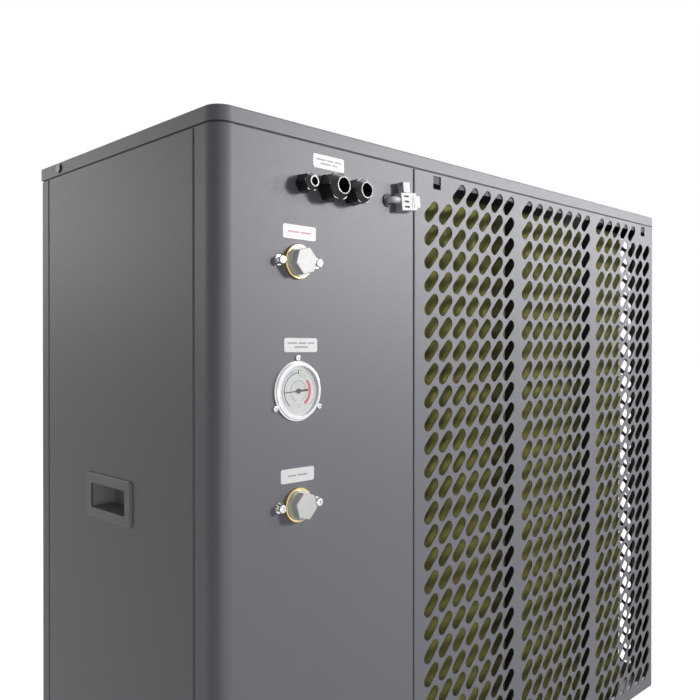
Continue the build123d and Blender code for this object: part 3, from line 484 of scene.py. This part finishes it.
DIAL_PRINT = {
    "dial_scale": (arc_grey, (
        (DIAL_ARC_RADIUS, 24.6, 225, -45),
        (20.6, 21.9, 232, 94),
        (11.6, 12.1, 250, -70),
    )),
    "dial_mark": (pointer_black, ((19.0, 24.0, 88.0, 91.5),)),
    "dial_green": (arc_green, ((16.5, 21.9, 86, 50),)),
    "dial_red": (arc_red, ((15.6, 19.0, 44, -58),)),
    "dial_pink": (print_pink, (
        (15.4, 16.6, 286, 277),
        (15.4, 16.6, 273, 262),
        (18.4, 19.4, 280, 266),
    )),
}


def arc_band(shape, centre, face, inner, outer, start, stop):
    """Flat ring sector on the dial's face between two radii and two angles."""
    count = max(2, int(abs(stop - start) / ARC_STEP))
    rows = []
    for depth in (face, face - PRINT_SHEET):
        for radius in (inner * MM, outer * MM):
            row = []
            for step in range(count + 1):
                angle = math.radians(start + (stop - start) * step / count)
                row.append(shape.verts.new(
                    (centre[0] + radius * math.cos(angle), depth, centre[1] + radius * math.sin(angle))
                ))
            rows.append(row)
    low_in, low_out, high_in, high_out = rows
    for step in range(count):
        for a, b in ((high_in, high_out), (low_out, low_in), (high_out, low_out), (low_in, high_in)):
            shape.faces.new((a[step], a[step + 1], b[step + 1], b[step]))
    for end in (0, count):
        shape.faces.new([row[end] for row in (low_in, low_out, high_out, high_in)])
    bmesh.ops.recalc_face_normals(shape, faces=shape.faces)


def dial_ticks():
    """Bands of the scale's ticks."""
    for tick in range(TICK_COUNT):
        angle = TICK_FIRST - tick * TICK_STEP
        inner = LONG_TICK_RADIUS if tick % LONG_TICK_EVERY == 0 else SHORT_TICK_RADIUS
        yield inner, DIAL_ARC_RADIUS, angle - TICK_HALF_WIDTH, angle + TICK_HALF_WIDTH


def build_dial_print():
    """Everything printed on the gauge's dial, one piece an ink and place."""
    low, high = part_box("gauge_dial")
    centre = ((low.x + high.x) / 2, (low.z + high.z) / 2)
    for name, (ink, bands) in DIAL_PRINT.items():
        shape = bmesh.new()
        for band in bands:
            arc_band(shape, centre, low.y, *band)
        if name == "dial_scale":
            for band in dial_ticks():
                arc_band(shape, centre, low.y, *band)
        mesh_piece(shape, name, ink)


# Fan guard: round wires, spokes with feet and a middle disc

def wire_along(shape, points, radius, closed):
    """Round wire through points that lie in planes across the fan's axis."""
    rings = []
    for index, point in enumerate(points):
        before = points[index - 1] if closed or index else point
        after = points[(index + 1) % len(points)] if closed or index + 1 < len(points) else point
        along = (after - before).normalized()
        side = along.cross(Vector((0, 1, 0)))
        if side.length < NEARLY_PARALLEL:
            side = Vector((1, 0, 0))
        side.normalize()
        lift = side.cross(along)
        ring = []
        for corner in range(WIRE_SIDES):
            angle = 2 * math.pi * corner / WIRE_SIDES
            ring.append(shape.verts.new(point + radius * (math.cos(angle) * side + math.sin(angle) * lift)))
        rings.append(ring)
    spans = len(rings) if closed else len(rings) - 1
    for index in range(spans):
        first, second = rings[index], rings[(index + 1) % len(rings)]
        for corner in range(WIRE_SIDES):
            after = (corner + 1) % WIRE_SIDES
            shape.faces.new((first[corner], first[after], second[after], second[corner]))
    if not closed:
        shape.faces.new(rings[0])
        shape.faces.new(list(reversed(rings[-1])))


def circle(centre, radius, depth, steps):
    """Points of a circle round the fan's axis."""
    for step in range(steps):
        angle = 2 * math.pi * step / steps
        yield centre + Vector((radius * math.cos(angle), depth, radius * math.sin(angle)))


def build_fan_guard():
    """Rings on the outside of the spokes, as on the CAD guard."""
    low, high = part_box("fan_guard")
    centre = Vector(((low.x + high.x) / 2, 0, (low.z + high.z) / 2))
    outer = (high.x - low.x) / 2
    radius = GUARD_WIRE / 2
    ring_y = high.y - radius
    spoke_y = high.y - 3 * radius
    shape = bmesh.new()
    for index in range(int((outer - GUARD_DISC) / GUARD_PITCH) + 1):
        reach = outer - radius - index * GUARD_PITCH
        wire_along(shape, list(circle(centre, reach, ring_y, RING_STEPS)), radius, True)
    for spoke in range(GUARD_SPOKES):
        angle = 2 * math.pi * spoke / GUARD_SPOKES
        out = Vector((math.cos(angle), 0, math.sin(angle)))
        inner_end = centre + out * GUARD_DISC * SPOKE_START_SHARE + Vector((0, spoke_y, 0))
        bend = centre + out * (outer - 3 * radius) + Vector((0, spoke_y, 0))
        foot = centre + out * (outer - 3 * radius) + Vector((0, low.y, 0))
        wire_along(shape, [inner_end, bend], radius, False)
        wire_along(shape, [bend, foot], radius, False)
    bmesh.ops.recalc_face_normals(shape, faces=shape.faces)
    inside, outside = (
        [shape.verts.new(point) for point in circle(centre, GUARD_DISC, depth, DISC_STEPS)]
        for depth in (spoke_y, high.y)
    )
    shape.faces.new(list(reversed(outside)))
    shape.faces.new(inside)
    for step in range(DISC_STEPS):
        after = (step + 1) % DISC_STEPS
        shape.faces.new((inside[step], outside[step], outside[after], inside[after]))
    piece = mesh_piece(shape, "guard_wires", wire_paint, ["fan_guard"])
    for polygon in piece.data.polygons:
        polygon.use_smooth = len(polygon.vertices) == 4


# Stage: pale floor, white surround and soft lamps

def background_ray(tree):
    """1 for camera, glossy and transmission rays, 0 for the rest."""
    path = place_node(tree, "ShaderNodeLightPath")
    total = path.outputs["Is Camera Ray"]
    for output in ("Is Glossy Ray", "Is Transmission Ray"):
        total = combine(tree, "MAXIMUM", total, path.outputs[output])
    return total


def floor_material():
    """Floor that bounces little light, is seen pale, and glows to white in the distance."""
    material, tree, shader = new_material("floor", FLOOR_SEEN[:3], FLOOR_ROUGHNESS)
    shader.inputs["Specular IOR Level"].default_value = 0.0
    shader.inputs["Emission Color"].default_value = (1, 1, 1, 1)
    seen = background_ray(tree)
    mix = place_node(tree, "ShaderNodeMix", data_type="RGBA")
    mix.inputs["A"].default_value = FLOOR_BOUNCE
    mix.inputs["B"].default_value = FLOOR_SEEN
    tree.links.new(seen, mix.inputs["Factor"])
    tree.links.new(mix.outputs["Result"], shader.inputs["Base Color"])
    spot = place_node(tree, "ShaderNodeNewGeometry")
    distance = place_node(tree, "ShaderNodeVectorMath", operation="LENGTH")
    tree.links.new(spot.outputs["Position"], distance.inputs[0])
    rise = spread(tree, distance.outputs["Value"], FLOOR_REACH, FLOOR_GLOW)
    tree.links.new(combine(tree, "MULTIPLY", rise, seen), shader.inputs["Emission Strength"])
    return material


def build_floor():
    """One large square under the feet."""
    mesh = bpy.data.meshes.new("floor")
    corners = [(x * FLOOR_HALF, y * FLOOR_HALF, 0) for x, y in ((-1, -1), (1, -1), (1, 1), (-1, 1))]
    mesh.from_pydata(corners, [], [(0, 1, 2, 3)])
    floor = bpy.data.objects.new("floor", mesh)
    bpy.context.scene.collection.objects.link(floor)
    mesh.materials.append(floor_material())


def build_world():
    """White surround that lights the object faintly."""
    world = bpy.data.worlds.new("studio")
    bpy.context.scene.world = world
    world.use_nodes = True
    tree = world.node_tree
    lit = tree.nodes["Background"]
    lit.inputs["Color"].default_value = (1.0, 1.0, 1.0, 1.0)
    strength = place_node(tree, "ShaderNodeMix", data_type="FLOAT")
    strength.inputs["A"].default_value = WORLD_LIGHT
    strength.inputs["B"].default_value = 1.0
    tree.links.new(background_ray(tree), strength.inputs["Factor"])
    tree.links.new(strength.outputs["Result"], lit.inputs["Strength"])


def soft_lamp(name, place, target, size, power, beam):
    """Square lamp that faces a point."""
    data = bpy.data.lights.new(name, "AREA")
    data.shape = "SQUARE"
    data.size = size
    data.energy = power
    data.spread = math.radians(beam)
    lamp = bpy.data.objects.new(name, data)
    lamp.location = place
    lamp.rotation_euler = (Vector(target) - Vector(place)).to_track_quat("-Z", "Y").to_euler()
    bpy.context.scene.collection.objects.link(lamp)


def build_camera():
    """Camera at the photograph's place."""
    data = bpy.data.cameras.new("camera")
    data.sensor_width = SENSOR_WIDTH
    data.lens = CAMERA_FOCAL * SENSOR_WIDTH / FRAME_WIDTH
    camera = bpy.data.objects.new("camera", data)
    camera.location = (cabinet_left + CAMERA_PLACE[0], rear_face + CAMERA_PLACE[1], CAMERA_PLACE[2])
    camera.rotation_euler = (math.radians(90 - CAMERA_PITCH), 0, math.radians(-CAMERA_YAW))
    bpy.context.scene.collection.objects.link(camera)
    bpy.context.scene.camera = camera


dress_nodes()
build_fins()
for name, facts in STICKERS.items():
    build_sticker(name, *facts)
build_dial_print()
build_fan_guard()
build_floor()
build_world()
for name, facts in LAMPS.items():
    soft_lamp(name, *facts)
build_camera()
bpy.context.scene.view_settings.view_transform = "Standard"
